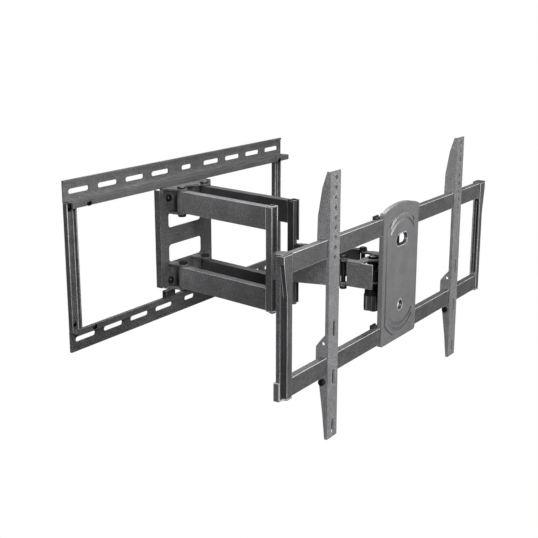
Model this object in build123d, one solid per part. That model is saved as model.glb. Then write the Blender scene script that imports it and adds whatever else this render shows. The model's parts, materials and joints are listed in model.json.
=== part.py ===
from build123d import *
import os
from math import cos, radians, sin

# Full motion TV wall mount, millimetres.
# The wall is the plane y = 0, the room is on the -Y side, and Z is up.
# The origin is the centre of the wall plate's back face.
# The mount is drawn pulled out from the wall, with its arms swung a little to one side.

SHEET = 2.5                 # folded steel of the wall plate and TV frame
HEAVY_SHEET = 3.0           # folded steel of the sliding bracket, posts and yoke
FIT = 0.05                  # radial clearance of a pin in its bore

# Wall plate
PLATE_LENGTH = 680.0
PLATE_HEIGHT = 306.0
RAIL_WEB = 38.0             # upright band that lies on the wall
RAIL_DEPTH = 24.0           # how far each rail's shelf stands out
RAIL_LIP = 8.0              # turned edge that the sliding bracket hooks on
SLOT_LENGTH = 51.0
SHORT_SLOT_LENGTH = 31.0
SLOT_HEIGHT = 9.0
SLOT_PITCH = 73.5
FIRST_SLOT = 81.0           # from the middle of the rail to the first long slot
SLOT_Z = 132.5
POST_WIDTH = 24.0
POST_DEPTH = 10.0
POST_INSETS = {-1: 0.0, 1: 9.0}    # of the left and right post from the rails' ends
POST_SCREW_HEAD = 5.0       # radius
POST_SCREW_THICK = 2.5
POST_SCREW_INSET = 12.0     # from the shelf down to the screw
STOP_X = 300.0              # stop screws at the ends of the bracket's travel
STOP_Z = 111.0
STOP_RADIUS = 3.0
STOP_SHANK = 8.0
STOP_HEAD = 5.0             # radius
STOP_HEAD_THICK = 3.0
CURL_DEPTH = 4.5            # curl along the rails' outer edges
CURL_HEIGHT = 3.5

# Sliding bracket on the wall plate
BRACKET_LEFT = -118.5
BRACKET_RIGHT = 41.0
BRACKET_BACK = -27.0        # y of its back face
BRACKET_FRONT = BRACKET_BACK - HEAVY_SHEET
BRACKET_RETURN = 10.0       # side edge folded back towards the wall
WINDOW_LEFT = -94.0
WINDOW_RIGHT = 8.0
WINDOW_CORNER = 7.0
UPPER_WINDOW = (30.0, 59.0)
LOWER_WINDOW = (-37.0, -3.0)
HOOK_SPREAD = 50.0          # hooks each side of the bracket's middle
HOOK_HALF = 14.0
HOOK_CLEAR = 0.4
HOOK_FINGER = 4.0
CLAMP_SPREAD = 54.0
CLAMP_HEIGHTS = (88.0, -72.0)
CLAMP_HEAD = 7.0            # radius across the corners
CLAMP_HEAD_THICK = 5.0

# Arms
ARM_Z = 11.0                # middle height of the first arms
SHOULDER_X = -53.0          # half way between the two shoulders
SHOULDER_Y = -58.0
PIVOT_SPACING = 70.0        # between the two arms, at every pivot row
FIRST_ARM = 231.0
SECOND_ARM = 128.0
FIRST_SWING = -9.5          # rest angle of the first arms, from straight out
SECOND_SWING = 14.2         # rest angle of the second arms
BEAM_WIDTH = 16.0
BEAM_HEIGHT = 40.5
BEAM_WALL = 2.0
BEAM_OFFSET = 72.75         # beam centre above and below the middle height
SHOULDER_BARREL = 9.0
SHOULDER_PIN = 5.0
SHOULDER_HEAD = 8.5
SHOULDER_HEAD_THICK = 4.0
SHOULDER_NUT_THICK = 5.0
LUG_RADIUS = 11.0
LUG_ARCH = 23.0             # radius of the arch between the two noses
ELBOW_PIN = 3.5
ELBOW_BARREL = 5.8
SLEEVE_RADIUS = 5.5
POST_SHEET = 2.0            # folded channel that ties the beams at the elbow
CHANNEL_FRONT = 6.0         # channel edge in front of the elbow pin
CHANNEL_BACK = 8.5          # channel web behind the elbow pin
CAP_THICK = 2.0
SECOND_WIDTH = 14.0
SECOND_HEIGHT = 50.0
SECOND_Z = 0.5
SECOND_WALL = 2.5
NECK_HALF = 4.5             # neck from the elbow barrel to the second beam
NECK_LENGTH = 9.0
EAR_REACH = 6.5             # open end of the second beam that takes the head's tongues
WASHER = 1.0

# Head that joins the two second arms
HEAD_WIDTH = 91.0
TONGUE_HALF = 7.0
WRIST_PIN = 4.0
WRIST_HEAD = 7.0
HEAD_SHEET = 3.0
SWIVEL_AHEAD = 40.0         # swivel axis in front of the wrists
SWIVEL_RADIUS = 7.0
SWIVEL_NOSE = 16.0
SIDE_REACH = 21.0           # side walls in front of the swivel axis
TILT_AHEAD = 20.0           # tilt axis in front of the swivel axis
TILT_RADIUS = 4.0
SPACER_LENGTH = 13.0        # boss under the head, above the knob
SPACER_RADIUS = 11.0
WASHER_STACK = 3            # friction washers above the knob
STACK_THICK = 2.4
STACK_PITCH = 2.8
KNOB_LENGTH = 26.0
KNOB_RADIUS = 17.0
KNOB_LOBES = 6
KNOB_SCALLOP = 7.0          # radius of the hollows between the lobes
KNOB_SCALLOP_OUT = 4.0      # their centres outside the knob
WRIST_HEAD_THICK = 4.0
WRIST_NUT_THICK = 5.0
SWIVEL_HEAD_THICK = 5.0
ELBOW_NUT_THICK = 3.0
COVER_FILLET = 5.0

# TV frame
FRAME_LENGTH = 727.0
FRAME_AHEAD = 87.7          # front of its rails, in front of the wrists
TV_RAIL_HEIGHT = 28.0
TV_RAIL_DEPTH = 12.0
TV_RAIL_Z = 92.0            # rail centres above and below the middle
END_POST_WIDTH = 22.0
END_POST_PROUD = 2.0        # end posts stand in front of the rails
GROOVE_WIDE = 8.0           # groove down each end post's outer front corner
GROOVE_DEEP = 6.5
COVER_WIDTH = 129.0
COVER_TOP = 124.0
COVER_CORNER = 114.0
COVER_BOTTOM = -112.0
COVER_STEP = 2.0            # flat border below the raised middle
COVER_FRONT = 4.0           # cover face in front of the rails
COVER_BACK = 6.0            # cover edge behind the rails' faces
COVER_WALL = 2.0
WINDOW_Z = 62.0
COVER_WINDOW = (46.0, 24.0)
COVER_HOLE_Z = -52.0
COVER_HOLE = 11.0
HANGER_TOP = 207.0
HANGER_FOOT = -211.0
HANGER_WIDTH = 30.0
LEFT_HANGER = -225.5        # hanger centres from the middle of the frame
RIGHT_HANGER = 231.5
TOP_HOLE = 197.0            # highest screw hole of a hanger
HOLE_PITCH = 15.0
HOLE_COUNT = 9
HOLE_RADIUS = 3.3
TALL_SLOT = 25.6
TALL_SLOTS = (-35.0, -112.0, -193.5)

BRACKET_X = (BRACKET_LEFT + BRACKET_RIGHT) / 2
near_shoulder = (SHOULDER_X - PIVOT_SPACING / 2, SHOULDER_Y)
far_shoulder = (SHOULDER_X + PIVOT_SPACING / 2, SHOULDER_Y)


def swing(start, length, angle):
    """Point at the end of an arm that swings in plan from straight out."""
    turn = radians(angle)
    return (start[0] + length * sin(turn), start[1] - length * cos(turn))


near_elbow = swing(near_shoulder, FIRST_ARM, FIRST_SWING)
far_elbow = swing(far_shoulder, FIRST_ARM, FIRST_SWING)
near_wrist = swing(near_elbow, SECOND_ARM, SECOND_SWING)
far_wrist = swing(far_elbow, SECOND_ARM, SECOND_SWING)
HEAD_X = (near_wrist[0] + far_wrist[0]) / 2
WRIST_Y = near_wrist[1]
SWIVEL_Y = WRIST_Y - SWIVEL_AHEAD
TILT_Y = SWIVEL_Y - TILT_AHEAD
RAIL_FRONT = WRIST_Y - FRAME_AHEAD
RAIL_BACK = RAIL_FRONT + TV_RAIL_DEPTH

saved = []


def block(x0, x1, y0, y1, z0, z1):
    """Box between two corners."""
    centre = Pos((x0 + x1) / 2, (y0 + y1) / 2, (z0 + z1) / 2)
    return centre * Box(abs(x1 - x0), abs(y1 - y0), abs(z1 - z0))


def upright(x, y, z0, z1, radius):
    """Cylinder along Z between two heights."""
    return Pos(x, y, (z0 + z1) / 2) * Cylinder(radius, abs(z1 - z0))


def level_x(x0, x1, y, z, radius):
    """Cylinder along X."""
    return Pos((x0 + x1) / 2, y, z) * Rot(0, 90, 0) * Cylinder(radius, abs(x1 - x0))


def level_y(x, y0, y1, z, radius):
    """Cylinder along Y."""
    return Pos(x, (y0 + y1) / 2, z) * Rot(90, 0, 0) * Cylinder(radius, abs(y1 - y0))


def ring(x, y, z0, z1, outer, inner):
    """Upright tube."""
    return upright(x, y, z0, z1, outer) - upright(x, y, z0 - 1, z1 + 1, inner)


def slot_y(x, y0, y1, z, length, height):
    """Round-ended cutter for a slot through a face that looks along Y."""
    outline = SlotOverall(length, height)
    solid = extrude(outline, abs(y1 - y0) / 2, both=True)
    return Pos(x, (y0 + y1) / 2, z) * Rot(90, 0, 0) * solid


def tall_slot_y(x, y0, y1, z, length, width):
    """The same cutter with its long side upright."""
    outline = SlotOverall(length, width)
    solid = extrude(Rot(0, 0, 90) * outline, abs(y1 - y0) / 2, both=True)
    return Pos(x, (y0 + y1) / 2, z) * Rot(90, 0, 0) * solid


def section_x(points, x0, x1):
    """Closed outline of (y, z) points, drawn out along X."""
    face = make_face(Polyline(*[(y, z) for y, z in points], close=True))
    return Pos(x0, 0, 0) * Plane.YZ.location * extrude(face, x1 - x0)


def section_z(points, z0, z1):
    """Closed outline of (x, y) points, drawn up along Z."""
    face = make_face(Polyline(*points, close=True))
    return Pos(0, 0, z0) * extrude(face, z1 - z0)


def on_arm(start, angle, shape):
    """Turns a shape drawn along -Y from the origin onto its arm."""
    return Pos(start[0], start[1], 0) * Rot(0, 0, angle) * shape


def save(name, *solids):
    """Writes one node; several solids stay a group of separate pieces."""
    pieces = []
    for item in solids:
        pieces.extend(item.solids())
    shape = pieces[0] if len(pieces) == 1 else Compound(children=pieces)
    export_step(shape, f"parts/{name}.step")
    saved.append(name)


# Wall plate: two mirrored rails and two end posts

def wall_rail(side):
    """Folded rail; side is 1 for the upper one and -1 for the lower one."""
    half = PLATE_LENGTH / 2
    top = PLATE_HEIGHT / 2
    shelf = top - RAIL_WEB
    outline = [
        (0, shelf),
        (0, top),
        (-SHEET, top),
        (-SHEET, shelf + SHEET),
        (-RAIL_DEPTH, shelf + SHEET),
        (-RAIL_DEPTH, shelf - RAIL_LIP),
        (-RAIL_DEPTH + SHEET, shelf - RAIL_LIP),
        (-RAIL_DEPTH + SHEET, shelf),
    ]
    flipped = [(y, side * z) for y, z in outline]
    rail = section_x(flipped, -half, half)
    edge_curl = [
        (0, side * top),
        (-CURL_DEPTH, side * top),
        (-CURL_DEPTH, side * (top - CURL_HEIGHT)),
        (-SHEET, side * (top - CURL_HEIGHT)),
        (-SHEET, side * (top - SHEET)),
        (0, side * (top - SHEET)),
    ]
    rail += section_x(edge_curl, -half, half)
    for count in range(4):
        for hand in (-1, 1):
            x = hand * (FIRST_SLOT + count * SLOT_PITCH)
            rail -= slot_y(x, 5, -8, side * SLOT_Z, SLOT_LENGTH, SLOT_HEIGHT)
    rail -= slot_y(0, 5, -8, side * SLOT_Z, SHORT_SLOT_LENGTH, SLOT_HEIGHT)
    for hand in (-1, 1):
        rail -= level_y(hand * STOP_X, -RAIL_DEPTH - 1, -RAIL_DEPTH + SHEET + 1, side * STOP_Z, STOP_RADIUS)
    return rail


def wall_post(side):
    """Shallow upright channel between the two rails' shelves."""
    half = PLATE_LENGTH / 2 - POST_INSETS[side]
    reach = PLATE_HEIGHT / 2 - RAIL_WEB
    x_out = side * half
    x_in = side * (half - POST_WIDTH)
    rib = side * SHEET
    post = block(x_in, x_out, -SHEET, 0, -reach, reach)
    post += block(x_in, x_in + rib, -POST_DEPTH, -SHEET, -reach, reach)
    post += block(x_out - rib, x_out, -POST_DEPTH, -SHEET, -reach, reach)
    return post


def post_foot_screws():
    """Pan heads that hold each post near the shelves."""
    screws = []
    reach = PLATE_HEIGHT / 2 - RAIL_WEB - POST_SCREW_INSET
    for side in (-1, 1):
        x_mid = PLATE_LENGTH / 2 - POST_INSETS[side] - POST_WIDTH / 2
        for end in (-1, 1):
            screws.append(level_y(side * x_mid, -SHEET - POST_SCREW_THICK, -SHEET, end * reach,
                                  POST_SCREW_HEAD))
    return screws


def travel_stops():
    """Stop screws through the lips that keep the bracket's hooks on the rails."""
    stops = []
    for side in (-1, 1):
        for end in (-1, 1):
            head = level_y(side * STOP_X, -RAIL_DEPTH - STOP_HEAD_THICK, -RAIL_DEPTH, end * STOP_Z,
                           STOP_HEAD)
            shank = level_y(side * STOP_X, -RAIL_DEPTH, -RAIL_DEPTH + STOP_SHANK, end * STOP_Z,
                            STOP_RADIUS)
            stops.append(head + shank)
    return stops


# Sliding bracket

BARREL_TOP = BEAM_OFFSET + BEAM_HEIGHT / 2
BARREL_LOW = BEAM_OFFSET - BEAM_HEIGHT / 2
BRACKET_TOP = ARM_Z + BARREL_TOP + WASHER + HEAVY_SHEET
BRACKET_FOOT = ARM_Z - BARREL_TOP - WASHER - HEAVY_SHEET


def bracket_plate():
    """Upright plate with two windows and folded side edges."""
    low = BRACKET_FOOT + HEAVY_SHEET
    high = BRACKET_TOP - HEAVY_SHEET
    plate = block(BRACKET_LEFT, BRACKET_RIGHT, BRACKET_FRONT, BRACKET_BACK, low, high)
    middle = (WINDOW_LEFT + WINDOW_RIGHT) / 2
    for bottom, top in (UPPER_WINDOW, LOWER_WINDOW):
        outline = RectangleRounded(WINDOW_RIGHT - WINDOW_LEFT, top - bottom, WINDOW_CORNER)
        window = extrude(outline, 2 * HEAVY_SHEET, both=True)
        plate -= Pos(middle, BRACKET_FRONT, (bottom + top) / 2) * Rot(90, 0, 0) * window
    for x in (BRACKET_LEFT, BRACKET_RIGHT - HEAVY_SHEET):
        plate += block(x, x + HEAVY_SHEET, BRACKET_BACK, BRACKET_BACK + BRACKET_RETURN, low, high)
    return plate


def lug_plate(z0, z1):
    """Level flange with a round nose at each shoulder pin and an arch between them."""
    left = near_shoulder[0] - LUG_RADIUS
    right = far_shoulder[0] + LUG_RADIUS
    lug = block(left, right, SHOULDER_Y, BRACKET_BACK, z0, z1)
    wedge = [
        (BRACKET_LEFT + BRACKET_RETURN, BRACKET_BACK),
        (BRACKET_RIGHT - BRACKET_RETURN, BRACKET_BACK),
        (right, SHOULDER_Y),
        (left, SHOULDER_Y),
    ]
    lug += section_z(wedge, z0, z1)
    for x, y in (near_shoulder, far_shoulder):
        lug += upright(x, y, z0, z1, LUG_RADIUS)
    lug -= upright(SHOULDER_X, SHOULDER_Y - LUG_RADIUS, z0 - 1, z1 + 1, LUG_ARCH)
    for x, y in (near_shoulder, far_shoulder):
        lug -= upright(x, y, z0 - 1, z1 + 1, SHOULDER_PIN)
    return lug


def inner_lugs(z0, z1):
    """Two tongues off the bracket's face, one at each shoulder pin."""
    tongues = []
    for x, y in (near_shoulder, far_shoulder):
        tongue = block(x - LUG_RADIUS, x + LUG_RADIUS, y, BRACKET_FRONT, z0, z1)
        tongue += upright(x, y, z0, z1, LUG_RADIUS)
        tongues.append(tongue - upright(x, y, z0 - 1, z1 + 1, SHOULDER_PIN))
    return tongues


def lip_hook(x, end):
    """Clip on the bracket's back that wraps the rail's lip."""
    lip_edge = PLATE_HEIGHT / 2 - RAIL_WEB - RAIL_LIP
    inner_y = -RAIL_DEPTH + SHEET + HOOK_CLEAR
    low = lip_edge - HOOK_HALF
    left = x - HOOK_HALF
    right = x + HOOK_HALF
    arm = block(left, right, inner_y, BRACKET_BACK, end * low, end * (lip_edge - HOOK_CLEAR))
    return arm + block(left, right, inner_y, inner_y + HOOK_FINGER, end * low,
                       end * (lip_edge + HOOK_FINGER + 1))


def clamp_bolts():
    """Hexagon bolts that pull the hooks onto the lips."""
    bolts = []
    for x in (BRACKET_X - CLAMP_SPREAD, BRACKET_X + CLAMP_SPREAD):
        for z in CLAMP_HEIGHTS:
            head = extrude(RegularPolygon(CLAMP_HEAD, 6), CLAMP_HEAD_THICK)
            bolts.append(Pos(x, BRACKET_FRONT, z) * Rot(90, 0, 0) * head)
    return bolts


def shoulder_pins():
    """Four short pivot bolts, one for each beam end."""
    pins = []
    outer = BARREL_TOP + WASHER + HEAVY_SHEET
    inner = BARREL_LOW - WASHER - HEAVY_SHEET
    for x, y in (near_shoulder, far_shoulder):
        for side in (-1, 1):
            shank = upright(x, y, ARM_Z + side * inner, ARM_Z + side * outer, SHOULDER_PIN)
            head_end = outer + SHOULDER_HEAD_THICK
            nut_end = inner - SHOULDER_NUT_THICK
            head = upright(x, y, ARM_Z + side * outer, ARM_Z + side * head_end, SHOULDER_HEAD)
            nut = upright(x, y, ARM_Z + side * inner, ARM_Z + side * nut_end, SHOULDER_HEAD)
            pins.append(shank + head + nut)
    return pins


def shoulder_washers():
    """Nylon washers above and below each barrel."""
    washers = []
    for x, y in (near_shoulder, far_shoulder):
        for side in (-1, 1):
            for inner in (BARREL_LOW - WASHER, BARREL_TOP):
                ends = sorted((ARM_Z + side * inner, ARM_Z + side * (inner + WASHER)))
                washers.append(ring(x, y, ends[0], ends[1], SHOULDER_BARREL, SHOULDER_PIN))
    return washers


# First arms: two box beams, tied at the elbow by an upright channel

CHANNEL_TOP = ARM_Z + BARREL_TOP
CHANNEL_FOOT = ARM_Z - BARREL_TOP
SECOND_LOW = SECOND_Z - SECOND_HEIGHT / 2
SECOND_HIGH = SECOND_Z + SECOND_HEIGHT / 2
NOTCH_CLEAR = 6.0           # channel is cut away this far above and below the second beam


def first_beam(side):
    """Box beam with a pivot barrel at the shoulder."""
    z0 = ARM_Z + side * BEAM_OFFSET - BEAM_HEIGHT / 2
    z1 = z0 + BEAM_HEIGHT
    half = BEAM_WIDTH / 2
    end = -FIRST_ARM + CHANNEL_BACK
    beam = block(-half, half, end, 0, z0, z1)
    beam -= block(-half + BEAM_WALL, half - BEAM_WALL, end - 1, -SHOULDER_BARREL - BEAM_WALL,
                  z0 + BEAM_WALL, z1 - BEAM_WALL)
    beam += upright(0, 0, z0, z1, SHOULDER_BARREL)
    return beam - upright(0, 0, z0 - 1, z1 + 1, SHOULDER_PIN + FIT)


def elbow_post():
    """Upright channel around the elbow pin, open to the room and notched for the second beam."""
    half = BEAM_WIDTH / 2
    front = -FIRST_ARM - CHANNEL_FRONT
    back = -FIRST_ARM + CHANNEL_BACK
    post = block(-half, half, front, back, CHANNEL_FOOT, CHANNEL_TOP)
    post -= block(-half + POST_SHEET, half - POST_SHEET, front - 1, back - POST_SHEET,
                  CHANNEL_FOOT - 1, CHANNEL_TOP + 1)
    notch_low = SECOND_LOW - NOTCH_CLEAR
    notch_high = SECOND_HIGH + NOTCH_CLEAR
    return post - block(-2, half + 1, front - 1, back + 1, notch_low, notch_high)


def elbow_caps():
    """Plates over both ends of the channel that carry the pin."""
    half = BEAM_WIDTH / 2
    caps = []
    for z in (CHANNEL_FOOT - CAP_THICK, CHANNEL_TOP):
        cap = block(-half, half, -FIRST_ARM - CHANNEL_FRONT, -FIRST_ARM + CHANNEL_BACK,
                    z, z + CAP_THICK)
        caps.append(cap - upright(0, -FIRST_ARM, z - 1, z + CAP_THICK + 1, ELBOW_PIN))
    return caps


def elbow_pin():
    """Long pivot bolt, flush on top, with a low nut underneath."""
    foot = CHANNEL_FOOT - CAP_THICK
    pin = upright(0, -FIRST_ARM, foot - ELBOW_NUT_THICK, CHANNEL_TOP + CAP_THICK, ELBOW_PIN)
    return pin + upright(0, -FIRST_ARM, foot - ELBOW_NUT_THICK, foot, ELBOW_BARREL)


def elbow_sleeves():
    """Spacer tubes that hold the second arm at its height."""
    upper = ring(0, -FIRST_ARM, SECOND_HIGH + WASHER, CHANNEL_TOP, SLEEVE_RADIUS, ELBOW_PIN)
    lower = ring(0, -FIRST_ARM, CHANNEL_FOOT, SECOND_LOW - WASHER, SLEEVE_RADIUS, ELBOW_PIN)
    return [upper, lower]


def elbow_washers():
    """Nylon washers on both sides of the second arm's barrel."""
    upper = ring(0, -FIRST_ARM, SECOND_HIGH, SECOND_HIGH + WASHER, ELBOW_BARREL, ELBOW_PIN)
    lower = ring(0, -FIRST_ARM, SECOND_LOW - WASHER, SECOND_LOW, ELBOW_BARREL, ELBOW_PIN)
    return [upper, lower]


# Second arms

def second_beam():
    """Box beam with a barrel at the elbow and open ears at the wrist."""
    half = SECOND_WIDTH / 2
    ear_start = -SECOND_ARM + EAR_REACH
    inner_low = SECOND_LOW + SECOND_WALL
    inner_high = SECOND_HIGH - SECOND_WALL
    beam = block(-half, half, -SECOND_ARM, -NECK_LENGTH, SECOND_LOW, SECOND_HIGH)
    beam += upright(0, -SECOND_ARM, SECOND_LOW, SECOND_HIGH, half)
    beam -= block(-half + BEAM_WALL, half - BEAM_WALL, ear_start - 1, -NECK_LENGTH - BEAM_WALL,
                  inner_low, inner_high)
    beam -= block(-half - 1, half + 1, -SECOND_ARM - half - 1, ear_start, inner_low, inner_high)
    beam += block(-NECK_HALF, NECK_HALF, -NECK_LENGTH - 1, 0, SECOND_LOW, SECOND_HIGH)
    beam += upright(0, 0, SECOND_LOW, SECOND_HIGH, ELBOW_BARREL)
    beam -= upright(0, 0, SECOND_LOW - 1, SECOND_HIGH + 1, ELBOW_PIN + FIT)
    return beam - upright(0, -SECOND_ARM, SECOND_LOW - 1, SECOND_HIGH + 1, WRIST_PIN + FIT)


# Head: a channel with tongues inside the second arms' ears

HEAD_LOW = SECOND_LOW + SECOND_WALL + WASHER
HEAD_HIGH = SECOND_HIGH - SECOND_WALL - WASHER
HEAD_LEFT = HEAD_X - HEAD_WIDTH / 2
HEAD_RIGHT = HEAD_X + HEAD_WIDTH / 2
SIDE_FRONT = SWIVEL_Y - SIDE_REACH
SIDE_BACK = WRIST_Y - TONGUE_HALF - 5.0


def head_plate(z0, z1):
    """Level plate: two tongues at the wrists and a bridge with a nose at the swivel."""
    bridge_back = SWIVEL_Y + SWIVEL_NOSE
    plate = block(HEAD_LEFT, HEAD_RIGHT, SWIVEL_Y, bridge_back, z0, z1)
    plate += upright(HEAD_X, SWIVEL_Y, z0, z1, SWIVEL_NOSE)
    for x, y in (near_wrist, far_wrist):
        wall_side = HEAD_LEFT if x < HEAD_X else HEAD_RIGHT
        inner_side = x + TONGUE_HALF if x < HEAD_X else x - TONGUE_HALF
        plate += block(wall_side, inner_side, SWIVEL_Y, SIDE_BACK, z0, z1)
        plate += block(x - TONGUE_HALF, x + TONGUE_HALF, SIDE_BACK, y, z0, z1)
        plate += upright(x, y, z0, z1, TONGUE_HALF)
        plate -= upright(x, y, z0 - 1, z1 + 1, WRIST_PIN)
    return plate - upright(HEAD_X, SWIVEL_Y, z0 - 1, z1 + 1, SWIVEL_RADIUS)


def head_sides():
    """Two upright side walls between the plates."""
    low = HEAD_LOW + HEAD_SHEET
    high = HEAD_HIGH - HEAD_SHEET
    sides = []
    for x in (HEAD_LEFT, HEAD_RIGHT - HEAD_SHEET):
        wall = block(x, x + HEAD_SHEET, SIDE_FRONT, SIDE_BACK, low, high)
        wall += block(x, x + HEAD_SHEET, SIDE_FRONT, SWIVEL_Y, HEAD_LOW, HEAD_HIGH)
        sides.append(wall)
    return sides


def wrist_pins():
    """Pivot bolts through the ears and tongues."""
    pins = []
    for x, y in (near_wrist, far_wrist):
        shank = upright(x, y, SECOND_LOW, SECOND_HIGH, WRIST_PIN)
        head = upright(x, y, SECOND_HIGH, SECOND_HIGH + WRIST_HEAD_THICK, WRIST_HEAD)
        nut = upright(x, y, SECOND_LOW - WRIST_NUT_THICK, SECOND_LOW, WRIST_HEAD)
        pins.append(shank + head + nut)
    return pins


def wrist_washers():
    """Nylon washers between the ears and the tongues."""
    washers = []
    for x, y in (near_wrist, far_wrist):
        for z in (HEAD_LOW - WASHER, HEAD_HIGH):
            washers.append(ring(x, y, z, z + WASHER, TONGUE_HALF, WRIST_PIN))
    return washers


STACK_TOP = HEAD_LOW - SPACER_LENGTH
KNOB_TOP = STACK_TOP - WASHER_STACK * STACK_PITCH
KNOB_FOOT = KNOB_TOP - KNOB_LENGTH


def swivel_bolt():
    """Swivel bolt with its head over the upper plate."""
    bolt = upright(HEAD_X, SWIVEL_Y, KNOB_FOOT + 4, HEAD_HIGH, SWIVEL_RADIUS)
    return bolt + upright(HEAD_X, SWIVEL_Y, HEAD_HIGH, HEAD_HIGH + SWIVEL_HEAD_THICK, SPACER_RADIUS)


def swivel_spacer():
    """Boss that carries the washers below the head."""
    return ring(HEAD_X, SWIVEL_Y, STACK_TOP, HEAD_LOW, SPACER_RADIUS, SWIVEL_RADIUS)


def swivel_washers():
    """Friction washers between the boss and the knob."""
    stack = []
    for count in range(WASHER_STACK):
        top = STACK_TOP - count * STACK_PITCH
        stack.append(ring(HEAD_X, SWIVEL_Y, top - STACK_THICK, top, KNOB_RADIUS - 2, SWIVEL_RADIUS))
    return stack


def swivel_knob():
    """Hand knob that sets the swivel friction."""
    knob = upright(HEAD_X, SWIVEL_Y, KNOB_FOOT, KNOB_TOP, KNOB_RADIUS)
    for count in range(KNOB_LOBES):
        angle = radians(360 / KNOB_LOBES * count)
        x = HEAD_X + (KNOB_RADIUS + KNOB_SCALLOP_OUT) * cos(angle)
        y = SWIVEL_Y + (KNOB_RADIUS + KNOB_SCALLOP_OUT) * sin(angle)
        knob -= upright(x, y, KNOB_FOOT - 1, KNOB_TOP + 1, KNOB_SCALLOP)
    return knob - upright(HEAD_X, SWIVEL_Y, KNOB_FOOT + 3, KNOB_TOP + 1, SWIVEL_RADIUS + FIT)


# Swivel block and tilt axle

EAR_INNER = 17.0
AXLE_BOSS = 8.5
EAR_RADIUS = 10.0
TILT_HEAD = 7.5             # radius of the axle's head and across the nut's corners
TILT_HEAD_THICK = 4.0
TILT_NUT_THICK = 5.0
TILT_TAIL = 1.0             # thread past the nut


def swivel_block():
    """Barrel on the swivel bolt with a neck to the tilt axle."""
    low = HEAD_LOW + HEAD_SHEET + WASHER
    high = HEAD_HIGH - HEAD_SHEET - WASHER
    reach = EAR_INNER - 0.4
    body = upright(HEAD_X, SWIVEL_Y, low, high, SPACER_RADIUS + 1)
    body += block(HEAD_X - AXLE_BOSS, HEAD_X + AXLE_BOSS, TILT_Y, SWIVEL_Y,
                  SECOND_Z - AXLE_BOSS, SECOND_Z + AXLE_BOSS)
    body += level_x(HEAD_X - reach, HEAD_X + reach, TILT_Y, SECOND_Z, AXLE_BOSS)
    body -= upright(HEAD_X, SWIVEL_Y, low - 1, high + 1, SWIVEL_RADIUS + FIT)
    return body - level_x(HEAD_X - reach - 1, HEAD_X + reach + 1, TILT_Y, SECOND_Z, TILT_RADIUS + FIT)


# TV frame: tilt plate, two rails, end posts, corner caps and the front cover

NECK_WIDTH = 22.0           # half width of the tilt plate between the rails
ARM_HALF = 62.0             # half width of its cross arms behind the rails
PLATE_EDGE = 106.0
PLATE_Y = RAIL_BACK + SHEET
TAB_REACH = 74.0            # tabs that hook over the rails
TAB_WIDTH = 17.0
TAB_RISE = 5.0
TAB_GAP = 0.3
OPENING_CORNER = 4.0
UPPER_OPENING = (20.0, 15.0)    # width and height of the opening behind the cover's window
LOWER_OPENING = (15.0, 15.0)


def tilt_plate():
    """I-shaped plate behind the rails with hook tabs and two tilt ears."""
    plate = block(HEAD_X - NECK_WIDTH, HEAD_X + NECK_WIDTH, RAIL_BACK, PLATE_Y, -PLATE_EDGE, PLATE_EDGE)
    for z, opening in ((WINDOW_Z, UPPER_OPENING), (COVER_HOLE_Z, LOWER_OPENING)):
        cutter = extrude(RectangleRounded(opening[0], opening[1], OPENING_CORNER), 2 * SHEET, both=True)
        plate -= Pos(HEAD_X, PLATE_Y, z) * Rot(90, 0, 0) * cutter
    for side in (-1, 1):
        arm_low = side * TV_RAIL_Z - TV_RAIL_HEIGHT / 2
        arm_high = arm_low + TV_RAIL_HEIGHT
        plate += block(HEAD_X - ARM_HALF, HEAD_X + ARM_HALF, RAIL_BACK, PLATE_Y, arm_low, arm_high)
        for hand in (-1, 1):
            outer = HEAD_X + hand * TAB_REACH
            inner = HEAD_X + hand * (TAB_REACH - TAB_WIDTH)
            plate += block(outer, inner, RAIL_BACK, PLATE_Y, arm_low, arm_high + TAB_RISE)
            plate += block(outer, inner, RAIL_FRONT + COVER_BACK + 1, RAIL_BACK, arm_high + TAB_GAP,
                           arm_high + TAB_GAP + SHEET)
    for side in (-1, 1):
        x0 = HEAD_X + side * EAR_INNER
        x1 = HEAD_X + side * (EAR_INNER + HEAVY_SHEET)
        ear = block(x0, x1, PLATE_Y, TILT_Y, SECOND_Z - EAR_RADIUS, SECOND_Z + EAR_RADIUS)
        ear += level_x(x0, x1, TILT_Y, SECOND_Z, EAR_RADIUS)
        plate += ear - level_x(min(x0, x1) - 1, max(x0, x1) + 1, TILT_Y, SECOND_Z, TILT_RADIUS)
    return plate


def tilt_bolt():
    """Axle through the swivel block with a dome head at one end."""
    reach = EAR_INNER + HEAVY_SHEET
    bolt = level_x(HEAD_X - reach, HEAD_X + reach + TILT_NUT_THICK + TILT_TAIL, TILT_Y, SECOND_Z,
                   TILT_RADIUS)
    return bolt + level_x(HEAD_X - reach - TILT_HEAD_THICK, HEAD_X - reach, TILT_Y, SECOND_Z, TILT_HEAD)


def tilt_nut():
    """Lock nut that sets the tilt friction."""
    start = HEAD_X + EAR_INNER + HEAVY_SHEET
    outline = RegularPolygon(TILT_HEAD, 6)
    nut = Pos(start, TILT_Y, SECOND_Z) * Plane.YZ.location * extrude(outline, TILT_NUT_THICK)
    return nut - level_x(start - 1, start + TILT_NUT_THICK + 1, TILT_Y, SECOND_Z, TILT_RADIUS)


FRAME_HALF = FRAME_LENGTH / 2
POST_FACE = RAIL_FRONT - END_POST_PROUD


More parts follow.
